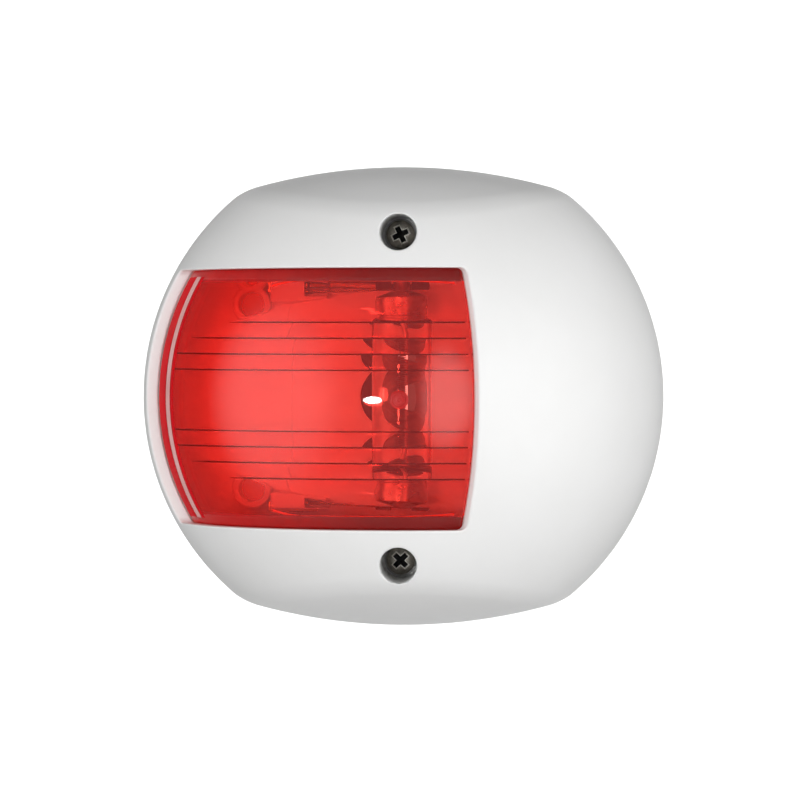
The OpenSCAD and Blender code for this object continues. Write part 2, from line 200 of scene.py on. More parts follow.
def dome(x, up, out, inset, crease):
    """The domed body, with its arched top and bottom faces."""
    ball = np.sqrt(x ** 2 + up ** 2 + out ** 2) - (BODY_R - inset)
    arch = np.hypot(x, np.abs(up) + ARCH_CENTRE) - (ARCH_R - BROW_R)
    brow = np.hypot(arch, out) - (BROW_R - inset)
    return overlap(ball, brow, crease)


def sector(x, up, out, half, corner=0.0):
    """The space that the light shines through, from straight ahead to abaft the beam."""
    ahead = BULB_OUT - out
    aft = x * math.cos(AFT_ANGLE) - (out - BULB_OUT) * math.sin(AFT_ANGLE)
    return overlap(overlap(ahead, aft), np.abs(up) - half, corner)


def stand(points):
    """Millimetres as (x, up, out) to metres in the frame."""
    points = np.asarray(points, float)
    return np.stack([points[:, 0], -points[:, 2], points[:, 1]], axis=1) * MM


def slope_of(shape, places, reach):
    """Which way, and how fast, the distance to a shape grows at some places."""
    slope = np.zeros_like(places)
    for axis in range(3):
        step = np.zeros(3)
        step[axis] = reach
        ahead = shape(*(places + step).T)
        behind = shape(*(places - step).T)
        slope[:, axis] = (ahead - behind) / (2 * reach)
    return slope


def round_turn(count):
    """Angles evenly spaced once round a circle."""
    return [2 * math.pi * k / count for k in range(count)]


def level_radius(ball_r, up):
    """How far a ball's surface is from the upright through its middle, at a height."""
    return math.sqrt(ball_r ** 2 - up ** 2)


def at_angle(r, angle, up):
    """The place at a radius from the upright, turned to the right of straight out."""
    return (r * math.sin(angle), up, r * math.cos(angle))


def new_object(name, mesh):
    piece = bpy.data.objects.new(name, mesh)
    bpy.context.scene.collection.objects.link(piece)
    return piece


def moulded(name, shape, low, high, cell):
    """An object for an implicit solid between two corners, sampled at a spacing and then
    drawn onto the shape's true surface."""
    low = np.asarray(low, float) - 2.5 * cell
    high = np.asarray(high, float) + 2.5 * cell
    axes = [np.arange(a, b + cell, cell) for a, b in zip(low, high)]
    field = shape(*np.meshgrid(*axes, indexing="ij", sparse=True))
    band = 3 * cell
    grid = openvdb.FloatGrid(band)
    grid.copyFromArray(np.clip(field, -band, band).astype(np.float32))
    places, quads = grid.convertToQuads(isovalue=0.0)
    places = places.astype(float) * cell + low
    reach = cell * 0.05
    for _ in range(4):
        slope = slope_of(shape, places, reach)
        steep = np.maximum((slope ** 2).sum(1), 0.2)
        step = shape(*places.T) / steep
        places -= np.clip(step, -cell / 2, cell / 2)[:, None] * slope
    normals = slope_of(shape, places, reach)
    normals /= np.maximum(np.linalg.norm(normals, axis=1), 1e-9)[:, None]
    mesh = bpy.data.meshes.new(name)
    mesh.from_pydata(stand(places).tolist(), [], quads.astype(int).tolist())
    mesh.polygons.foreach_set("use_smooth", [True] * len(mesh.polygons))
    mesh.update()
    mesh.normals_split_custom_set_from_vertices((stand(normals) / MM).tolist())
    return new_object(name, mesh)


def finish_mesh(name, bm, sharp_degrees=30):
    """An object for a bmesh, smooth but for edges sharper than an angle."""
    bmesh.ops.remove_doubles(bm, verts=bm.verts, dist=1e-7)
    bmesh.ops.dissolve_degenerate(bm, edges=bm.edges, dist=1e-8)
    bmesh.ops.recalc_face_normals(bm, faces=bm.faces)
    for face in bm.faces:
        face.smooth = True
    limit = math.radians(sharp_degrees)
    for edge in bm.edges:
        if edge.is_manifold and edge.calc_face_angle(0) > limit:
            edge.smooth = False
    mesh = bpy.data.meshes.new(name)
    bm.to_mesh(mesh)
    bm.free()
    return new_object(name, mesh)


def rounded_line(points, radii, steps=5):
    """A line in a plane with some of its corners rounded: a radius of 0 keeps a corner."""
    line = []
    count = len(points)
    for i, (point, radius) in enumerate(zip(points, radii)):
        here = np.array(point, float)
        if not radius:
            line.append(tuple(here))
            continue
        before = np.array(points[i - 1], float) - here
        after = np.array(points[(i + 1) % count], float) - here
        long_before = np.linalg.norm(before)
        long_after = np.linalg.norm(after)
        half = math.acos(np.clip(before @ after / long_before / long_after, -1, 1)) / 2
        back = min(radius / math.tan(half), long_before * 0.49, long_after * 0.49)
        start = here + before / long_before * back
        end = here + after / long_after * back
        for t in np.linspace(0, 1, steps):
            line.append(tuple((1 - t) ** 2 * start + 2 * t * (1 - t) * here + t ** 2 * end))
    return line


def revolved(name, section, place, segments=64, sharp_degrees=30):
    """An object for a closed section of (r, along), turned about an axis. place gives the
    (x, up, out) of a point at (side, side, along)."""
    bm = bmesh.new()
    rings = []
    for r, along in section:
        if r < 1e-6:
            rings.append([bm.verts.new(stand([place(0, 0, along)])[0])] * segments)
            continue
        circle = [place(r * math.cos(t), r * math.sin(t), along) for t in round_turn(segments)]
        rings.append([bm.verts.new(p) for p in stand(circle)])
    for ring, following in zip(rings, rings[1:] + rings[:1]):
        for k in range(segments):
            corners = [ring[k], ring[(k + 1) % segments], following[(k + 1) % segments], following[k]]
            corners = list(dict.fromkeys(corners))
            if len(corners) > 2:
                bm.faces.new(corners)
    return finish_mesh(name, bm, sharp_degrees)


def on_bulb_axis(side, other, along):
    return (side, along, BULB_OUT + other)


def close_bar(bm, rings):
    """Faces along a row of rings of corners, with both ends closed."""
    for ring, following in zip(rings, rings[1:]):
        for k in range(len(ring)):
            m = (k + 1) % len(ring)
            bm.faces.new([ring[k], ring[m], following[m], following[k]])
    bm.faces.new(rings[0][::-1])
    bm.faces.new(rings[-1])


def ring_solid(bm, sections):
    """A closed bar through a row of sections, each a loop of (x, up, out)."""
    close_bar(bm, [[bm.verts.new(p) for p in stand(loop)] for loop in sections])


# ---------------- materials

FINE = 0.00001  # Depth of a smooth surface's grain, in metres


def new_material(name):
    material = bpy.data.materials.new(name)
    material.use_nodes = True
    nodes = material.node_tree.nodes
    return material, nodes, material.node_tree.links, nodes["Principled BSDF"]


def set_inputs(node, values):
    """Plain numbers and colours on a node's own sockets."""
    for socket, value in values.items():
        node.inputs[socket].default_value = value


def object_noise(nodes, links, scale, detail=3.0):
    """Noise fixed to the object, with its scale in grains to the metre."""
    place = nodes.new("ShaderNodeTexCoord")
    noise = nodes.new("ShaderNodeTexNoise")
    set_inputs(noise, {"Scale": scale, "Detail": detail, "Roughness": 0.55})
    links.new(place.outputs["Object"], noise.inputs["Vector"])
    return noise.outputs["Fac"]


def ramp(nodes, links, source, low, high, low_at=0.35, high_at=0.65):
    """A colour that runs from one to the other as a source value rises."""
    node = nodes.new("ShaderNodeValToRGB")
    node.color_ramp.elements[0].position = low_at
    node.color_ramp.elements[0].color = (*low, 1)
    node.color_ramp.elements[1].position = high_at
    node.color_ramp.elements[1].color = (*high, 1)
    links.new(source, node.inputs["Fac"])
    return node.outputs["Color"]


def spread(nodes, links, source, low, high, from_low=0.0, from_high=1.0, smooth=False):
    """A source value carried over from one range to another."""
    node = nodes.new("ShaderNodeMapRange")
    if smooth:
        node.interpolation_type = "SMOOTHSTEP"
    set_inputs(node, {"From Min": from_low, "From Max": from_high, "To Min": low, "To Max": high})
    links.new(source, node.inputs["Value"])
    return node.outputs["Result"]


def vector_step(nodes, links, source, operation, second):
    """Vector arithmetic on a source, with a second vector where the operation has one."""
    node = nodes.new("ShaderNodeVectorMath")
    node.operation = operation
    if second is not None:
        node.inputs[1].default_value = second
    links.new(source, node.inputs[0])
    return node


def bump(nodes, links, source, strength, distance, under=None):
    node = nodes.new("ShaderNodeBump")
    set_inputs(node, {"Strength": strength, "Distance": distance})
    links.new(source, node.inputs["Height"])
    if under is not None:
        links.new(under, node.inputs["Normal"])
    return node.outputs["Normal"]


def plain(name, colour, dark, rough, grain, depth=FINE, patch=120.0, extra=None):
    """A surface with slow changes of colour and a fine grain."""
    material, nodes, links, shader = new_material(name)
    patches = object_noise(nodes, links, patch)
    grains = object_noise(nodes, links, grain, detail=2.0)
    links.new(ramp(nodes, links, patches, dark, colour), shader.inputs["Base Color"])
    links.new(spread(nodes, links, patches, *rough), shader.inputs["Roughness"])
    links.new(bump(nodes, links, grains, 0.5, depth), shader.inputs["Normal"])
    set_inputs(shader, extra or {})
    return material


def metal(name, colour, dark, rough, grain, patch, depth=FINE):
    return plain(name, colour, dark, rough, grain, depth, patch, {"Metallic": 1.0})


def lets_lamps_through(material, shader, tint):
    """Glass that lamps shine straight through, so that what is behind it is lit."""
    nodes, links = material.node_tree.nodes, material.node_tree.links
    path = nodes.new("ShaderNodeLightPath")
    clear = nodes.new("ShaderNodeBsdfTransparent")
    clear.inputs["Color"].default_value = (*tint, 1)
    mix = nodes.new("ShaderNodeMixShader")
    links.new(path.outputs["Is Shadow Ray"], mix.inputs["Fac"])
    links.new(shader.outputs["BSDF"], mix.inputs[1])
    links.new(clear.outputs["BSDF"], mix.inputs[2])
    links.new(mix.outputs["Shader"], nodes["Material Output"].inputs["Surface"])


def clear_material(name, ior, scale, rough, waviness, tint):
    """Clear glass or plastic with a slightly wavy surface."""
    material, nodes, links, shader = new_material(name)
    set_inputs(shader, {"Base Color": (1, 1, 1, 1), "Transmission Weight": 1.0, "IOR": ior})
    waves = object_noise(nodes, links, scale, detail=1.0)
    links.new(spread(nodes, links, waves, 0.0, rough), shader.inputs["Roughness"])
    links.new(bump(nodes, links, waves, *waviness), shader.inputs["Normal"])
    lets_lamps_through(material, shader, tint)
    return material, shader


def lens_material(name):
    """Clear red moulded plastic, darker the more of it the light crosses, with a faint painted red glow
    added to it."""
    material, shader = clear_material(name, 1.49, 160, 0.03, (0.15, 0.00004), (1.0, 1.0, 1.0))
    # Painted glow: a faint constant red emission, though the lens is no lamp.
    set_inputs(shader, {"Emission Color": (1, 0.02, 0.015, 1), "Emission Strength": 0.08})
    nodes, links = material.node_tree.nodes, material.node_tree.links
    absorb = nodes.new("ShaderNodeVolumeAbsorption")
    set_inputs(absorb, {"Color": (0.992, 0.33, 0.24, 1), "Density": 800})
    links.new(absorb.outputs["Volume"], nodes["Material Output"].inputs["Volume"])
    return material


def end_wall_shade_material(name):
    """Deep red painted shade, duller and darker to the right, where less light gets in behind it."""
    material, nodes, links, shader = new_material(name)
    place = nodes.new("ShaderNodeTexCoord")
    split = nodes.new("ShaderNodeSeparateXYZ")
    links.new(place.outputs["Object"], split.inputs["Vector"])
    grains = object_noise(nodes, links, 700)
    shift = nodes.new("ShaderNodeMath")
    shift.operation = "MULTIPLY_ADD"
    shift.inputs[1].default_value = 0.012
    links.new(grains, shift.inputs[0])
    links.new(split.outputs["X"], shift.inputs[2])
    left_x, right_x = -0.03, 0.004
    along = spread(nodes, links, shift.outputs["Value"], 0.0, 1.0, left_x, right_x)
    colour = ramp(nodes, links, along, (0.62, 0.012, 0.014), (0.13, 0.004, 0.004), 0.05, 0.95)
    links.new(colour, shader.inputs["Base Color"])
    links.new(spread(nodes, links, grains, 0.4, 0.6), shader.inputs["Roughness"])
    return material


def white_plastic(name, colour, dark, grain_depth):
    """Opaque moulded plastic with a fine spark-eroded grain."""
    material, nodes, links, shader = new_material(name)
    patches = object_noise(nodes, links, 60)
    grains = object_noise(nodes, links, 3800, detail=2.0)
    ripples = object_noise(nodes, links, 240, detail=2.0)
    links.new(ramp(nodes, links, patches, dark, colour, 0.3, 0.7), shader.inputs["Base Color"])
    links.new(spread(nodes, links, grains, 0.34, 0.5), shader.inputs["Roughness"])
    soft = bump(nodes, links, ripples, 0.15, 0.00003)
    links.new(bump(nodes, links, grains, 0.45, grain_depth, soft), shader.inputs["Normal"])
    shader.inputs["IOR"].default_value = 1.5
    return material


# Painted shade: the dark lines that the Fresnel steps show through the clear lens.
STEP_PAINTED_SHADE = plain("lens_step_shade_paint", (0.1, 0.004, 0.003), (0.05, 0.002, 0.002), (0.5, 0.7), 2000)
# Painted shade for the lens's flat top and bottom walls, darker to the right.
WALL_PAINTED_SHADE = end_wall_shade_material("lens_wall_shade_paint")
# Painted highlight for the corners where the end walls meet the lens's face.
WALL_PAINTED_HIGHLIGHT = plain("lens_wall_highlight_paint", (0.95, 0.3, 0.16), (0.85, 0.2, 0.1), (0.2, 0.3), 1200)
COVER_WHITE = white_plastic("cover_white", (0.89, 0.89, 0.885), (0.865, 0.865, 0.857), 0.000012)
PLATE_WHITE = white_plastic("plate_white", (0.91, 0.905, 0.89), (0.88, 0.875, 0.86), FINE)
LENS_RED = lens_material("lens_red")
GATE_RED = plain("gate_red", (0.6, 0.02, 0.018), (0.4, 0.01, 0.01), (0.25, 0.4), 2400,
                 extra={"Specular IOR Level": 0.25})
# Painted shade and a painted glint for the lens's ahead edge seen through its face.
EDGE_PAINTED_SHADE = plain("lens_edge_shade_paint", (0.78, 0.006, 0.014), (0.64, 0.004, 0.01), (0.5, 0.7), 2400,
                  extra={"Specular IOR Level": 0.1})
EDGE_PAINTED_GLINT = plain("lens_edge_painted_glint", (0.85, 0.5, 0.48), (0.75, 0.4, 0.38), (0.5, 0.7), 2400,
                  extra={"Specular IOR Level": 0.1})
BULB_GLASS = clear_material("bulb_glass", 1.5, 300, 0.02, (0.2, 0.00003), (0.97, 0.97, 0.97))[0]
NICKEL = metal("nickel_plate", (0.62, 0.6, 0.56), (0.45, 0.42, 0.37), (0.2, 0.38), 1800, 500)
BRASS = metal("brass_strip", (0.7, 0.52, 0.24), (0.5, 0.34, 0.15), (0.25, 0.42), 1500, 400)
# Spring bronze darkened with painted shade, for contact leaves that look unlit.
BRONZE_PAINTED_SHADE = metal("spring_bronze", (0.17, 0.11, 0.065), (0.08, 0.05, 0.03), (0.22, 0.4), 1500, 400)
TIN = metal("tin_plate", (0.72, 0.71, 0.68), (0.55, 0.54, 0.5), (0.18, 0.32), 1800, 600)
SOLDER = metal("solder", (0.5, 0.5, 0.49), (0.32, 0.32, 0.31), (0.35, 0.55), 2500, 1500, 0.00003)
TUNGSTEN = metal("tungsten", (0.22, 0.22, 0.23), (0.1, 0.1, 0.11), (0.35, 0.5), 9000, 3000, 0.000005)
STEEL = metal("dark_steel", (0.56, 0.52, 0.46), (0.34, 0.315, 0.275), (0.3, 0.5), 2600, 900, 0.000012)
# Painted highlight for the rim round a screw's recess.
RIM_PAINTED_HIGHLIGHT = metal("rim_painted_highlight", (0.95, 0.92, 0.86), (0.75, 0.72, 0.66), (0.35, 0.5), 3000, 1500)
# Painted shade for a screw's recess.
RECESS_PAINTED_SHADE = plain("recess_shade", (0.012, 0.011, 0.01), (0.006, 0.006, 0.005), (0.6, 0.8), 3000)
BLACK_RUBBER = plain("black_rubber", (0.03, 0.03, 0.03), (0.015, 0.015, 0.015), (0.5, 0.7), 2200, 0.00002)
PALE_RUBBER = plain("pale_rubber", (0.6, 0.6, 0.59), (0.5, 0.5, 0.49), (0.55, 0.75), 2200, 0.00002)
GREY_RUBBER = plain("grey_rubber", (0.3, 0.3, 0.3), (0.22, 0.22, 0.22), (0.55, 0.75), 2200, 0.00002)
FOAM = plain("foam_rubber", (0.06, 0.06, 0.062), (0.03, 0.03, 0.03), (0.75, 0.95), 1600, 0.00008)
SILICONE = plain("silicone", (0.72, 0.71, 0.69), (0.62, 0.61, 0.58), (0.4, 0.6), 1600)


def dress(piece, material, body, node):
    """A piece that stands for a CAD node."""
    piece.data.materials.clear()
    piece.data.materials.append(material)
    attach(piece, body)
    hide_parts(node)


def lens_trim(piece, material):
    """A small piece that is part of the lens but isn't a CAD node."""
    piece.data.materials.append(material)
    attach(piece, "cover")


# ---------------- pieces

def cover_shape(x, up, out):
    skin = cut(dome(x, up, out, 0, CREASE), dome(x, up, out, COVER_WALL, CREASE), 0.3)
    skin = overlap(skin, COVER_BACK - out, 0.3)
    level = np.abs(up)
    tower = overlap(np.hypot(x, level - SCREW_UP) - TOWER_R, TOWER_BACK - out, 0.3)
    tower = overlap(tower, dome(x, up, out, COVER_WALL / 2, CREASE))
    body = join(skin, tower, 0.6)
    body = cut(body, sector(x, up, out, WINDOW_HALF, 1.0), 0.35)
    well = overlap(np.hypot(x, level - SCREW_UP) - WELL_R, WELL_FLOOR - out, 0.2)
    body = cut(body, well, 0.25)
    return cut(body, np.hypot(x, level - SCREW_UP) - SCREW_HOLE_R, 0.15)


def front_cover():
    piece = moulded("front_cover_skin", cover_shape, cover_low, cover_high + [0, 0, 1], 0.3)
    dress(piece, COVER_WHITE, "cover", "front_cover")


def plate_shape(x, up, out):
    level = np.abs(up)
    flange = overlap(outline(x, up, PLATE_INSET), between(out, 0, PLATE_FLANGE), 0.3)
    ring = cut(outline(x, up, SPIGOT_INSET), outline(x, up, SPIGOT_INSET + SPIGOT_WALL))
    ring = overlap(ring, np.abs(out - SPIGOT_OUT / 2 - 0.2) - SPIGOT_OUT / 2 + 0.2, 0.3)
    plate = join(flange, ring, 0.3)
    panel = box(x, up, out, [-PANEL[0], -PANEL[1], 0.5], [PANEL[0], PANEL[1], PANEL_OUT], 0.25)
    plate = join(plate, panel, 0.15)
    across = np.abs(x)
    plate = join(plate, rod(across, level, out, COLLAR_AT, COLLAR_R, 0.5, COLLAR_OUT, 0.35), 0.4)
    plate = join(plate, rod(x, level, out, (0, SCREW_UP), PILLAR_R, 0.5, PILLAR_OUT, 0.3), 0.4)
    rib = box(x, level, out, [-0.6, SCREW_UP, 1], [0.6, BODY_HALF_HEIGHT - 3.6, 9], 0.2)
    plate = join(plate, rib, 0.3)
    block = box(x, level, out, BLOCK_LOW, BLOCK_HIGH, 0.3)
    block = cut(block, box(x, level, out, SLOT_LOW, SLOT_HIGH), 0.15)
    block = cut(block, box(x, level, out, TUNNEL_LOW, TUNNEL_HIGH), 0.08)
    rivet_hole = np.hypot(x - RIVET_AT[0], out - RIVET_AT[1])
    block = cut(block, overlap(rivet_hole - RIVET_HOLE_R, BLOCK_LOW[1] - 0.5 - level), 0.08)
    block = cut(block, overlap(rivet_hole - RIVET_TAIL_R, level - BLOCK_LOW[1] - 0.6), 0.08)
    plate = join(plate, block, 0.4)
    plate = cut(plate, np.hypot(across - COLLAR_AT[0], level - COLLAR_AT[1]) - MOUNT_HOLE_R, 0.3)
    plate = cut(plate, rod(x, level, out, (0, SCREW_UP), PILOT_R, 4.2, 30), 0.2)
    plate = cut(plate, rod(x, up, out, (GROMMET_X, 0), GROMMET_HOLE_R, -1, 10), 0.15)
    plate = cut(plate, rod(x, up, out, (GROMMET_X, 0), GROMMET_SEAT_R, -1, GROMMET_SEAT_DEPTH), 0.15)
    groove = cut(outline(x, up, SEAL_GROOVE[0]), outline(x, up, SEAL_GROOVE[1]))
    return cut(plate, overlap(groove, out - SEAL_GROOVE_DEPTH), 0.1)


def back_plate():
    piece = moulded("back_plate_moulding", plate_shape, plate_low, plate_high, 0.25)
    dress(piece, PLATE_WHITE, "base", "back_plate")


def angle_at(r, share, margin):
    """Angle to the right of straight out of a place on the lens at a radius from the
    upright through the dome's middle, a share of the way from its ahead edge to its aft
    edge, for a lens that runs a margin past the window."""
    ahead = -np.arccos((BULB_OUT - margin) / r)
    aft = AFT_ANGLE + np.arcsin((margin - BULB_OUT * math.sin(AFT_ANGLE)) / r)
    return ahead + (aft - ahead) * share


def step_rise(i, part):
    """How far a Fresnel step stands in, part of the way from its corner to its foot. The
    last one runs out gently to the end wall."""
    height = STEP_HEIGHT + i * STEP_GROWTH
    if i == STEPS - 1:
        return height * (1 - part) ** 2
    return height * (1 - part) + 4 * STEP_BULGE * part * (1 - part)


def lens_section():
    """Section of the lens as rows of (up, r, step, tip): step is how far a Fresnel step
    stands in there, and tip marks the back of a flat end wall."""
    flange = WINDOW_HALF + FLANGE_REACH
    flange_r, rim_r = [level_radius(LENS_R - FLANGE_DROP, up) for up in (flange, WINDOW_HALF)]
    rows = [(-flange, flange_r, 0, 0), (-WINDOW_HALF, rim_r, 0, 0)]
    face = np.linspace(-WINDOW_HALF, WINDOW_HALF, 61)
    rows += [(up, level_radius(LENS_R, up), 0, 0) for up in face]
    rows += [(WINDOW_HALF, rim_r, 0, 0), (flange, flange_r, 0, 0)]
    wall_out = WINDOW_HALF - 0.15
    wall_in = WINDOW_HALF - END_WALL
    reach = wall_in - 0.6
    inner_r = lambda up: level_radius(LENS_INNER_R, up)
    half = [(flange, inner_r(flange), 0, 0), (wall_out, inner_r(wall_out), 0, 0)]
    half += [(wall_out, inner_r(wall_out), 0, 1), (wall_in + END_WALL_DRAFT, inner_r(wall_in), 0, 1)]
    half += [(wall_in, inner_r(wall_in), 0, 0), (reach, inner_r(reach), 0, 0)]
    for i in range(STEPS - 1, -1, -1):
        corner = FIRST_STEP + i * STEP_PITCH
        length = reach - corner if i == STEPS - 1 else STEP_PITCH
        for part in np.linspace(0.89, 0, 13):
            up = corner + part * length
            half.append((up, inner_r(up), step_rise(i, part), 0))
        half.append((corner, inner_r(corner), 0, 0))
    half += [(up, inner_r(up), 0, 0) for up in np.linspace(FIRST_STEP, 0, 6)[1:]]
    inside = half + [(-up, r, step, tip) for up, r, step, tip in half[-2::-1]]
    for up, r, step, tip in inside:
        rows.append((up - STEP_DROP if abs(up) <= reach else up, r, step, tip))
    return rows


def fade_at(up):
    """How far left the Fresnel step at a height runs: the further ones end sooner."""
    return STEP_START + STEP_START_GROWTH * np.maximum(np.abs(up) - FIRST_STEP, 0) ** 2


def red_lens():
    up, r, step, tip = np.array(lens_section()).T
    flanged = np.minimum(r, np.sqrt((LENS_R - FLANGE_DROP) ** 2 - up ** 2))
    tip_aft = math.atan2((END_WALL_BACK - BULB_OUT) * math.tan(AFT_ANGLE), END_WALL_BACK)
    columns = []

    def column(radius, share, margin):
        """One section of the lens, a share of the way from its ahead edge to its aft edge."""
        angle = angle_at(radius, share, margin)
        ahead = angle_at(radius, 0, 0)
        tips = ahead + (tip_aft - ahead) * share
        angle = np.where(tip > 0, tips, angle)
        x = radius * np.sin(angle)
        share_in = np.clip((x - fade_at(up) - STEP_FADE_DELAY) / STEP_FADE_LENGTH, 0, 1)
        radius = radius - step * share_in
        back = np.minimum(radius - 0.02, END_WALL_BACK / np.maximum(np.cos(angle), 0.05))
        radius = np.where(tip > 0, back, radius)
        columns.append(np.stack([radius * np.sin(angle), up, radius * np.cos(angle)], axis=1))

    column(flanged, 0, FLANGE_REACH)
    column(flanged, 0, 0)
    for share in np.linspace(0, 1, 97):
        column(r, share, 0)
    column(flanged, 1, 0)
    column(flanged, 1, FLANGE_REACH)
    bm = bmesh.new()
    ring_solid(bm, columns)
    piece = finish_mesh("red_lens_moulding", bm, 12)
    dress(piece, LENS_RED, "cover", "red_lens")


def step_shade_lines():
    """Painted shade along the moulded-in corners of the Fresnel steps, where the plastic looks dark."""
    bm = bmesh.new()
    line_half = 0.11
    for sign in (-1, 1):
        for i in range(STEPS):
            up = FIRST_STEP + i * STEP_PITCH
            r = level_radius(LENS_INNER_R, up)
            near, far = r - 0.05, r + 0.22
            ahead = -math.cos(math.asin((BULB_OUT + 0.4) / r))
            start = math.asin(max((fade_at(up) + 0.6) / r, ahead))
            end = AFT_ANGLE - math.asin(BULB_OUT * math.sin(AFT_ANGLE) / r) - 0.002
            loops = []
            for share in np.linspace(0, 1, 60):
                angle = start + (end - start) * share
                half = line_half * min(1, 0.15 + share * 9)
                corners = ((near, -half), (near, half), (far, half), (far, -half))
                loops.append([at_angle(q, angle, sign * (up + v) - STEP_DROP) for q, v in corners])
            ring_solid(bm, loops)
    lens_trim(finish_mesh("lens_step_shade_strips", bm), STEP_PAINTED_SHADE)


def end_wall_cores():
    """Painted shade: opaque pieces in the thick of the lens's flat top and bottom walls, which the light
    can't cross.
    """
    bm = bmesh.new()
    top, bottom = WINDOW_HALF - 0.35, WINDOW_HALF - END_WALL + 0.1
    r_top, r_bottom = [level_radius(LENS_R - 0.5, up) for up in (top, bottom)]
    deepest = r_bottom - 16
    for sign in (-1, 1):
        loops = []
        for share in np.linspace(0, 1, 60):
            angle = angle_at(np.array([r_bottom]), share, -0.25)[0]
            back = min(END_WALL_BACK + 0.2, r_top * math.cos(angle) - 0.3) / math.cos(angle)
            back = max(back, deepest)
            corners = ((back, bottom + END_WALL_DRAFT), (r_bottom, bottom), (r_top, top), (back, top))
            loops.append([at_angle(q, angle, sign * v) for q, v in corners])
        ring_solid(bm, loops)
    lens_trim(finish_mesh("lens_end_wall_shade_cores", bm), WALL_PAINTED_SHADE)


def edge_ribbon(bm, near, far):
    """A ribbon flush with the lens's face, at distances in from its ahead edge."""
    loops = []
    across = list(np.linspace(near, far, 6))
    corners = [(LENS_R + 0.03, inset) for inset in across]
    corners += [(LENS_R - 0.1, inset) for inset in across[::-1]]
    for up in np.linspace(-RIBBON_HALF_LENGTH, RIBBON_HALF_LENGTH, 81):
        edge = -math.sqrt(LENS_R ** 2 - up ** 2 - BULB_OUT ** 2)
        loops.append([(edge + inset, up, math.sqrt(r ** 2 - up ** 2 - (edge + inset) ** 2))
                      for r, inset in corners])
    ring_solid(bm, loops)


def lens_edge():
    """The lens's ahead edge seen through its face: dark painted shade, with a pale painted glint beside it.
    """
    for name, material, ribbons in (
        ("lens_edge_shade_band", EDGE_PAINTED_SHADE, ((0.12, 1.45), (2.5, 3.0))),
        ("lens_edge_glint", EDGE_PAINTED_GLINT, ((1.6, 2.35),)),
    ):
        bm = bmesh.new()
        for near, far in ribbons:
            edge_ribbon(bm, near, far)
        lens_trim(finish_mesh(name, bm), material)


def end_wall_beads():
    """A painted highlight on the rounded corner where a flat end wall runs into the lens's face. Its ends
    dip towards the middle."""
    bm = bmesh.new()
    level = WINDOW_HALF - END_WALL - 0.1
    r = level_radius(LENS_INNER_R, level) - 0.3
    thick = 0.2
    first = 0.42
    for sign in (-1, 1):
        loops = []
        for share in np.linspace(first, 0.99, 50):
            angle = angle_at(np.array([r]), share, -0.1)[0]
            ahead_dip = 0.9 * max(0.0, 1 - (share - first) / 0.12) ** 2
            aft_dip = 0.5 * max(0.0, (share - 0.8) / 0.2) ** 2
            drop = ahead_dip + aft_dip
            corners = [(r + thick * math.cos(t), level - drop + thick * math.sin(t)) for t in round_turn(8)]
            loops.append([at_angle(q, angle, sign * v) for q, v in corners])
        ring_solid(bm, loops)
    lens_trim(finish_mesh("lens_end_wall_highlight_beads", bm, 60), WALL_PAINTED_HIGHLIGHT)


def gate_mark():
    """The small round mark, in rings, where the lens's plastic was fed in."""
    profile = [(0, 0), (1.5, 0), (1.5, 0.13), (1.35, 0.2), (1.15, 0.2), (1.05, 0.06), (0.8, 0.06),
               (0.7, 0.19), (0.3, 0.2), (0.2, 0.08), (0, 0.06)]
    section = [(r, level_radius(LENS_R, r) + 0.005 + rise) for r, rise in profile]
    place = lambda a, b, along: (GATE_X + a, GATE_UP + b, along)
    lens_trim(revolved("lens_gate_mark", section, place, 48, 25), GATE_RED)


def bulb_glass():
    radius = (glass_high[0] - glass_low[0]) / 2
    shoulder, neck = 8.8, 3.88
    end = glass_high[1]
    wall = 0.45
    points = [(radius, -shoulder), (radius, shoulder), (neck, shoulder + 0.35), (neck, end), (0, end),
              (0, end - wall), (neck - wall, end - wall), (neck - wall, shoulder + 0.1),
              (radius - wall, shoulder - wall)]
    inner = [(r, -u) for r, u in points[5:][::-1]]
    outer = [(r, -u) for r, u in points[2:5][::-1]]
    section = points + inner + outer
    radii = [1.6, 1.6, 0.5, 0.6, 0, 0, 0.4, 0.5, 1.2]
    radii = radii + radii[5:][::-1] + radii[2:5][::-1]
    piece = revolved("bulb_glass_envelope", rounded_line(section, radii, 8), on_bulb_axis, 64, 60)
    dress(piece, BULB_GLASS, "bulb", "bulb_glass")


def bulb_cap(side, sign):
    radius = (cap_high[0] - cap_low[0]) / 2
    start, end = cap_low[1], cap_high[1]
    shoulder = end - 1.6
    wall = 0.3
    groove = radius - 0.12
    points = [(radius - wall, start), (radius - 0.02, start), (radius, start + 0.5), (groove, start + 0.8),
              (groove, start + 1.2), (radius, start + 1.5), (radius, shoulder), (1.55, end), (1.25, end),
              (1.25, end - wall), (radius - wall, shoulder - wall)]
    radii = [0.1, 0.1, 0.2, 0.2, 0.2, 0.2, 0.5, 0.2, 0.05, 0.05, 0.4]
    section = [(r, sign * u) for r, u in rounded_line(points, radii, 6)]
    piece = revolved(f"{side}_bulb_cap_shell", section, on_bulb_axis, 64, 50)
    dress(piece, NICKEL, "bulb", f"{side}_bulb_cap")


def bulb_tip(side, sign):
    base, top = tip_low[1], tip_high[1]
    section = [(0, base), (1.12, base), (1.12, top - 0.8), (1.42, top - 0.72)]
    section += [(1.42 * math.cos(t), top - 0.6 + 0.6 * math.sin(t)) for t in np.linspace(0, math.pi / 2, 9)]
    section = [(max(r, 0.0), sign * u) for r, u in section]
    piece = revolved(f"{side}_bulb_tip_blob", section, on_bulb_axis, 40, 50)
    dress(piece, SOLDER, "bulb", f"{side}_bulb_tip")


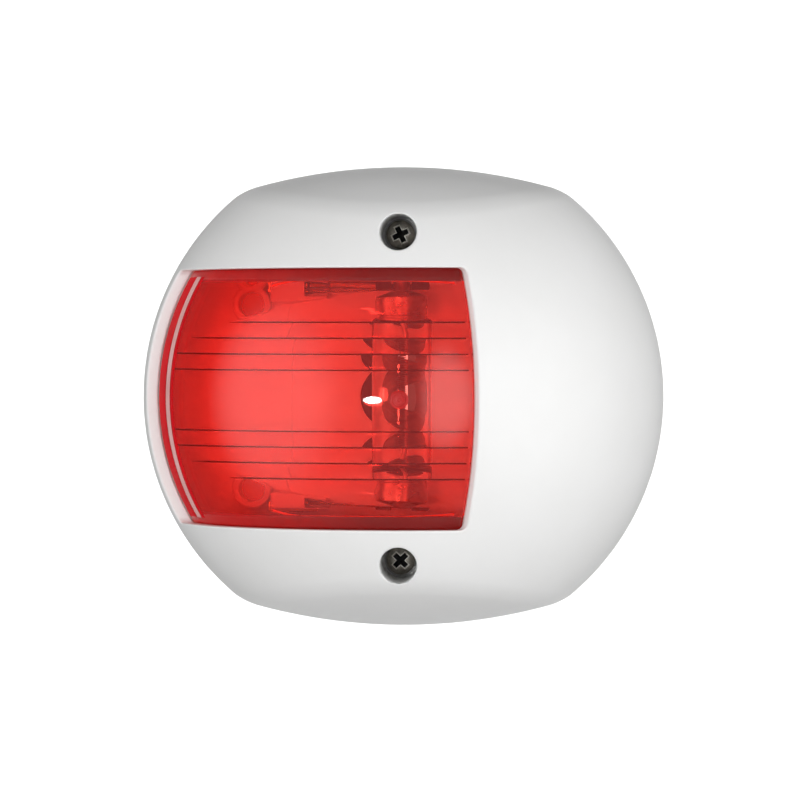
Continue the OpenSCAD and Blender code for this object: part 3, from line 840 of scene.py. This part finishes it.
def wire(name, route, radius, sides=8):
    """A round wire along a route of (x, up, out), closed at both ends."""
    route = [Vector(p) for p in stand(route)]
    bm = bmesh.new()
    rings = []
    normal = None
    for i, here in enumerate(route):
        along = (route[min(i + 1, len(route) - 1)] - route[max(i - 1, 0)]).normalized()
        if normal is None:
            normal = along.orthogonal().normalized()
        normal = (normal - along * normal.dot(along)).normalized()
        other = along.cross(normal)
        rings.append([bm.verts.new(here + (normal * math.cos(t) + other * math.sin(t)) * radius * MM)
                      for t in round_turn(sides)])
    close_bar(bm, rings)
    return finish_mesh(name, bm, 60)


def filament():
    """A straight coil of fine wire between the two leads."""
    half = filament_high[1]
    coil_r, wire_r, turns, steps = 0.27, 0.07, 34, 14
    route = []
    for i in range(turns * steps + 1):
        share = i / (turns * steps)
        up = -half + 2 * half * share
        turn = 2 * math.pi * i / steps
        route.append((coil_r * math.cos(turn), up, BULB_OUT + coil_r * math.sin(turn)))
    piece = wire("filament_coil", route, wire_r, 6)
    dress(piece, TUNGSTEN, "bulb", "filament")


def lead(side, sign):
    """The wire that carries an end of the filament, bowed a little to one side."""
    near, far = lead_low[1], lead_high[1]
    bow = 0.35
    route = [(0.0, sign * (near + 0.1), BULB_OUT)]
    route += [(bow * math.sin(math.pi * t), sign * (near + (far - near) * t), BULB_OUT)
              for t in np.linspace(0.1, 1, 10)]
    piece = wire(f"{side}_lead_wire", route, 0.2, 10)
    dress(piece, NICKEL, "bulb", f"{side}_lead")


def leaf_shape(sign):
    """A spring leaf: a strip with a fork round the bulb's tip and a lip to guide it in."""
    inner, thick, lip = leaf_low[1], 0.4, 0.7
    fork = 1.65
    front = leaf_high[2] - lip

    def shape(x, up, out):
        level = up * sign
        rise = np.maximum(out - front, 0)
        skin = (np.abs(level - rise - inner - thick / 2) - thick / 2) * np.where(rise > 0, 0.8, 1.0)
        plan = overlap(between(x, leaf_low[0], leaf_high[0]), between(out, leaf_low[2], leaf_high[2]), 0.8)
        slot = join(np.hypot(x, out - BULB_OUT) - fork, overlap(np.abs(x) - fork, BULB_OUT - out), 0.3)
        plan = cut(plan, slot, 0.2)
        root = overlap(x + 12.0, 9.5 - out)
        plan = cut(plan, root, 0.3)
        shoulder = overlap(x + 4.25, front - out)
        plan = cut(plan, shoulder, 0.3)
        return overlap(skin, plan, 0.1)

    return shape


def contact_leaf(side, sign):
    low, high = span(f"{side}_contact")
    piece = moulded(f"{side}_contact_leaf", leaf_shape(sign), low, high, 0.1)
    dress(piece, BRONZE_PAINTED_SHADE, f"{side}_leaf", f"{side}_contact")


def terminal_shape(sign):
    """A strip bent round the left end of a block, with a hole for the wire."""
    left = BLOCK_LOW[0] - 0.05 - STRIP
    inner, outer = leaf_low[1], BLOCK_HIGH[1] + 0.05
    back, front = terminal_low[2], terminal_high[2]

    def shape(x, up, out):
        level = up * sign

        def leg(up_low, right, up_high):
            return box(x, level, out, [left, up_low, back], [right, up_high, front], 0.06)

        inner_leg = leg(inner, SLOT_LOW[0] + 0.45, inner + STRIP)
        outer_leg = leg(outer, terminal_high[0], outer + STRIP)
        strip = join(join(inner_leg, outer_leg), leg(inner, left + STRIP, outer + STRIP))
        strip = cut(strip, np.hypot(x - RIVET_AT[0], out - RIVET_AT[1]) - RIVET_HOLE_R, 0.04)
        wire_hole = np.hypot(x - terminal_high[0] + 1.0, out - RIVET_AT[1]) - 0.6
        return cut(strip, overlap(wire_hole, outer - 0.5 - level), 0.04)

    return shape


def terminal(side, sign):
    low, high = span(f"{side}_terminal")
    piece = moulded(f"{side}_terminal_strip", terminal_shape(sign), low, high, 0.1)
    dress(piece, BRASS, "base", f"{side}_terminal")


def rivet(side, sign):
    low, high = rivet_low[1], rivet_high[1]
    head, tail, shank = (rivet_high[0] - rivet_low[0]) / 2, 1.4, 0.8
    seat = high - 0.75
    points = [(0, low), (0.5, low), (0.6, low + 0.2), (1.1, low), (tail, low + 0.1), (tail, low + 0.5),
              (shank, low + 0.5), (shank, seat), (head, seat), (head, seat + 0.2), (head - 0.7, high),
              (0, high)]
    radii = [0, 0.1, 0.1, 0.1, 0.1, 0.1, 0.02, 0.02, 0.08, 0.2, 0.6, 0]
    place = lambda a, b, along: (RIVET_AT[0] + a, sign * along, RIVET_AT[1] + b)
    piece = revolved(f"{side}_rivet_solid", rounded_line(points, radii, 5), place, 40, 50)
    dress(piece, TIN, "base", f"{side}_rivet")


def cable_grommet():
    front = grommet_high[2]
    r = (grommet_high[0] - grommet_low[0]) / 2
    bore = 2.4
    seat = PANEL_OUT + 0.05
    points = [(bore, 0.02), (4.6, 0.02), (4.6, 0.7), (3.4, 0.7), (3.4, seat), (r, seat), (r, seat + 1.15),
              (3.9, seat + 1.25), (3.3, front), (bore + 0.3, front), (bore, front - 0.4)]
    radii = [0.2, 0.3, 0.2, 0.05, 0.05, 0.2, 0.55, 0.7, 0.4, 0.15, 0.15]
    place = lambda a, b, along: (GROMMET_X + a, b, along)
    piece = revolved("cable_grommet_moulding", rounded_line(points, radii, 7), place, 72, 50)
    dress(piece, BLACK_RUBBER, "base", "cable_grommet")


def turned_back(x, y, degrees):
    """A place in the directions of a screw's recess, which is turned by an angle."""
    c, s = math.cos(math.radians(degrees)), math.sin(math.radians(degrees))
    return x * c + y * s, y * c - x * s


def screw_shape(sign, turned):
    """A pan-head screw with a real thread and a cross recess with tapered arms."""
    head_r = (screw_high[0] - screw_low[0]) / 2
    seat = washer_high[2] + 0.05
    top = screw_high[2]
    point = screw_low[2]
    core, crest, pitch = 0.93, 1.25, 1.0
    neck_half = 1.2

    def shape(x, up, out):
        y = up - sign * SCREW_UP
        a, b = turned_back(x, y, turned)
        r = np.hypot(x, y)
        head = overlap(r - head_r, between(out, seat, top), 0.25)
        crown = np.sqrt(r ** 2 + (out - top + HEAD_CROWN_R) ** 2) - HEAD_CROWN_R
        head = overlap(head, crown, 0.3)
        phase = (out / pitch - np.arctan2(y, x) / (2 * math.pi)) % 1.0
        tooth = np.clip(1 - np.abs(phase - 0.5) / 0.26, 0, 1)
        taper = np.clip((out - point) / 1.4, 0, 1) * np.clip((seat - 2.4 - out) / 0.6, 0, 1)
        root = core * np.clip(0.25 + (out - point) / 1.2, 0.25, 1)
        thread = (r - root - (crest - core) * tooth * taper) * 0.6
        shank = overlap(thread, np.abs(out - (seat + point) / 2) - (seat - point) / 2 - 0.05)
        neck = overlap(r - crest + 0.08, np.abs(out - seat + neck_half) - neck_half)
        body = join(join(head, neck, 0.15), shank, 0.05)
        deep = np.clip((top - out) / RECESS_DEPTH, 0, 1)
        reach = RECESS_REACH * (1 - 0.35 * deep)
        half_width = RECESS_HALF_WIDTH * (1 - 0.3 * deep)
        slot = lambda p, q: np.maximum(np.abs(p) - reach, np.abs(q) - half_width)
        floor = top - RECESS_DEPTH + 0.45 * r - out
        cross = overlap(join(slot(a, b), slot(b, a), 0.12), floor, 0.05)
        return cut(body, cross, 0.1)

    return shape


def cover_screw(side, sign, turned):
    """A screw with painted shade in its recess and a painted highlight on the rim round it."""
    low, high = span(f"{side}_cover_screw")
    piece = moulded(f"{side}_cover_screw_steel", screw_shape(sign, turned), low, high, 0.07)
    dress(piece, STEEL, f"{side}_screw", f"{side}_cover_screw")
    piece.data.materials.append(RECESS_PAINTED_SHADE)
    piece.data.materials.append(RIM_PAINTED_HIGHLIGHT)
    x, back, up = np.array([face.center[:] for face in piece.data.polygons]).T / MM
    y = up - sign * SCREW_UP
    a, b = turned_back(x, y, turned)
    arm = lambda p, q: np.maximum(np.abs(p) - RECESS_REACH, np.abs(q) - RECESS_HALF_WIDTH)
    outside = np.minimum(arm(a, b), arm(b, a))
    crown = np.sqrt(np.maximum(HEAD_CROWN_R ** 2 - x ** 2 - y ** 2, 0))
    below = screw_high[2] - HEAD_CROWN_R + crown + back
    # Faces in the recess get painted shade, those on the rim round it a painted highlight.
    in_recess = (outside < 0.03) & (below > 0.1) & (below < 1.8)
    on_rim = (outside > -0.05) & (outside < 0.15) & (below <= 0.1)
    shade = np.where(on_rim, 2, np.where(in_recess, 1, 0))
    piece.data.polygons.foreach_set("material_index", shade.astype(np.int32))


def keep_cad(node, material):
    """A CAD node that shows as it is, in its own material."""
    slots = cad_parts[node].data.materials
    slots.clear()
    slots.append(material)


# ---------------- stage, light and camera

def stage_floor():
    """A pale floor that curves up behind the light into a backdrop."""
    floor_z, near, bend, far, top = -0.5, -0.5, 0.45, 1.0, 0.36
    half_width = 0.25
    glow_middle = (-0.026, far, -0.016)
    glow_full, glow_end = 0.27, 0.45
    profile = [(near, floor_z), (bend, floor_z)]
    reach = far - bend
    profile += [(bend + reach * math.sin(t), floor_z + reach * (1 - math.cos(t)))
                for t in np.linspace(0.05, math.pi / 2, 24)]
    profile.append((far, top))
    bm = bmesh.new()
    rows = [[bm.verts.new((x, y, z)) for x in (-half_width, half_width)] for y, z in profile]
    for lower, upper in zip(rows, rows[1:]):
        bm.faces.new([lower[0], lower[1], upper[1], upper[0]])
    floor = finish_mesh("pale_floor", bm, 60)
    material, nodes, links, shader = new_material("pale_paper")
    grain = object_noise(nodes, links, 40)
    links.new(ramp(nodes, links, grain, (0.86, 0.86, 0.86), (0.9, 0.9, 0.9)), shader.inputs["Base Color"])
    set_inputs(shader, {"Roughness": 0.9, "Specular IOR Level": 0.0, "Emission Color": (1, 1, 1, 1)})
    place = nodes.new("ShaderNodeTexCoord")
    away = vector_step(nodes, links, place.outputs["Object"], "DISTANCE", glow_middle)
    glow = spread(nodes, links, away.outputs["Value"], 0.0, 0.6, glow_end, glow_full, True)
    links.new(glow, shader.inputs["Emission Strength"])
    floor.data.materials.append(material)


def dark_card():
    """A dark grey card far behind the light, hidden by it, that shows through its holes as painted shade.
    Its edge is the light's own outline, a little smaller, as the camera casts it on to the card."""
    eye = bpy.context.scene.camera.location
    card_y = 0.75
    inset = 2.2
    bm = bmesh.new()
    corners = []
    for t in round_turn(96):
        x, up = math.cos(t), math.sin(t)
        low, high = 0.0, BODY_R
        for _ in range(30):
            r = (low + high) / 2
            low, high = (r, high) if outline(r * x, r * up, inset) < 0 else (low, r)
        here = Vector((low * x * MM, 0, low * up * MM))
        far = eye + (here - eye) * ((card_y - eye.y) / (here.y - eye.y))
        corners.append(bm.verts.new(far))
    bm.faces.new(corners)
    card = finish_mesh("painted_shade_card", bm)
    # Painted shade seen through the light's holes.
    grey = plain("card_painted_shade", (0.04, 0.04, 0.04), (0.03, 0.03, 0.03), (0.8, 0.9), 300, 0.0001)
    card.data.materials.append(grey)


def hole_backing():
    """Small discs close behind the plate's mounting holes: a painted red glow for the red light that the
    lens throws there, with a dark back of painted shade."""
    def discs(name, r, out, material):
        bm = bmesh.new()
        for x in (-COLLAR_AT[0], COLLAR_AT[0]):
            for up in (-COLLAR_AT[1], COLLAR_AT[1]):
                rim = stand([(x + r * math.cos(t), up + r * math.sin(t), out) for t in round_turn(32)])
                bm.faces.new([bm.verts.new(p) for p in rim])
        piece = finish_mesh(name, bm)
        piece.data.materials.append(material)

    # Painted light: a red glow where the hole's floor would be lit through the lens.
    red = plain("hole_painted_red_glow", (0.3, 0.02, 0.015), (0.25, 0.015, 0.01), (0.8, 0.9), 900,
                extra={"Emission Color": (1, 0.12, 0.08, 1), "Emission Strength": 0.36})
    discs("hole_backing", 2.2, -0.1, red)
    dark = plain("hole_shade", (0.05, 0.05, 0.05), (0.03, 0.03, 0.03), (0.8, 0.9), 900)
    discs("hole_backing_shade", 2.3, -0.16, dark)


def lobe(nodes, links, direction, inner, outer, strength, tall=1.0):
    """A soft patch of the surroundings: full to an angle, gone at a wider one, and
    stretched upright."""
    place = nodes.new("ShaderNodeTexCoord")
    squash = vector_step(nodes, links, place.outputs["Generated"], "MULTIPLY", (1, 1, 1 / tall))
    unit = vector_step(nodes, links, squash.outputs["Vector"], "NORMALIZE", None)
    towards = Vector((direction[0], direction[1], direction[2] / tall)).normalized()
    along = vector_step(nodes, links, unit.outputs["Vector"], "DOT_PRODUCT", towards)
    full, gone = math.cos(math.radians(inner)), math.cos(math.radians(outer))
    return spread(nodes, links, along.outputs["Value"], 0.0, strength, gone, full, True)


def heading(degrees, up=0.0):
    """A direction in front of the light, turned to the right by an angle."""
    return (math.sin(math.radians(degrees)), -math.cos(math.radians(degrees)), up)


def studio():
    """Soft light from all round in front, with a tall soft box to the right, one to each
    side and a small flash close to the camera."""
    world = bpy.data.worlds.new("studio")
    bpy.context.scene.world = world
    world.use_nodes = True
    nodes, links = world.node_tree.nodes, world.node_tree.links
    lobes = [
        lobe(nodes, links, heading(0, -0.06), 75, 100, 0.37),
        lobe(nodes, links, heading(21), 3, 14, 2.0, 2.0),
        lobe(nodes, links, heading(66), 10, 42, 1.8),
        lobe(nodes, links, heading(-62), 10, 40, 1.3),
        lobe(nodes, links, heading(-12.5, -0.02), 2.2, 4.8, 92, 0.38),
    ]
    total = lobes[0]
    for more in lobes[1:]:
        add = nodes.new("ShaderNodeMath")
        links.new(total, add.inputs[0])
        links.new(more, add.inputs[1])
        total = add.outputs["Value"]
    all_round = nodes.new("ShaderNodeMath")
    all_round.inputs[1].default_value = 0.1
    links.new(total, all_round.inputs[0])
    nodes["Background"].inputs["Color"].default_value = (1, 1, 1, 1)
    links.new(all_round.outputs["Value"], nodes["Background"].inputs["Strength"])
    bpy.context.scene.view_settings.view_transform = "Standard"


def camera():
    """The view that the light is shown from: close to straight on, a little from the
    right and from above."""
    distance = 0.65
    yaw, pitch = math.radians(1.5), math.radians(0.85)
    target = Vector((-0.0006, 0, -0.0007))
    cam = bpy.data.cameras.new("camera")
    cam.lens = 172.5
    cam.sensor_width = 36
    eye = bpy.data.objects.new("camera", cam)
    bpy.context.scene.collection.objects.link(eye)
    towards = Vector((math.sin(yaw) * math.cos(pitch), -math.cos(yaw) * math.cos(pitch), math.sin(pitch)))
    eye.location = target + towards * distance
    eye.rotation_euler = (-towards).to_track_quat("-Z", "Y").to_euler()
    bpy.context.scene.camera = eye


camera()
studio()
stage_floor()
dark_card()
hole_backing()
front_cover()
back_plate()
red_lens()
step_shade_lines()
end_wall_cores()
lens_edge()
end_wall_beads()
gate_mark()
bulb_glass()
filament()
cable_grommet()
for side, sign in (("upper", 1), ("lower", -1)):
    bulb_cap(side, sign)
    bulb_tip(side, sign)
    lead(side, sign)
    contact_leaf(side, sign)
    terminal(side, sign)
    rivet(side, sign)
    cover_screw(side, sign, 25 if sign > 0 else 45)
    keep_cad(f"{side}_screw_seal", PALE_RUBBER)
keep_cad("base_seal", FOAM)
keep_cad("cover_seal", GREY_RUBBER)
keep_cad("lens_seal", SILICONE)
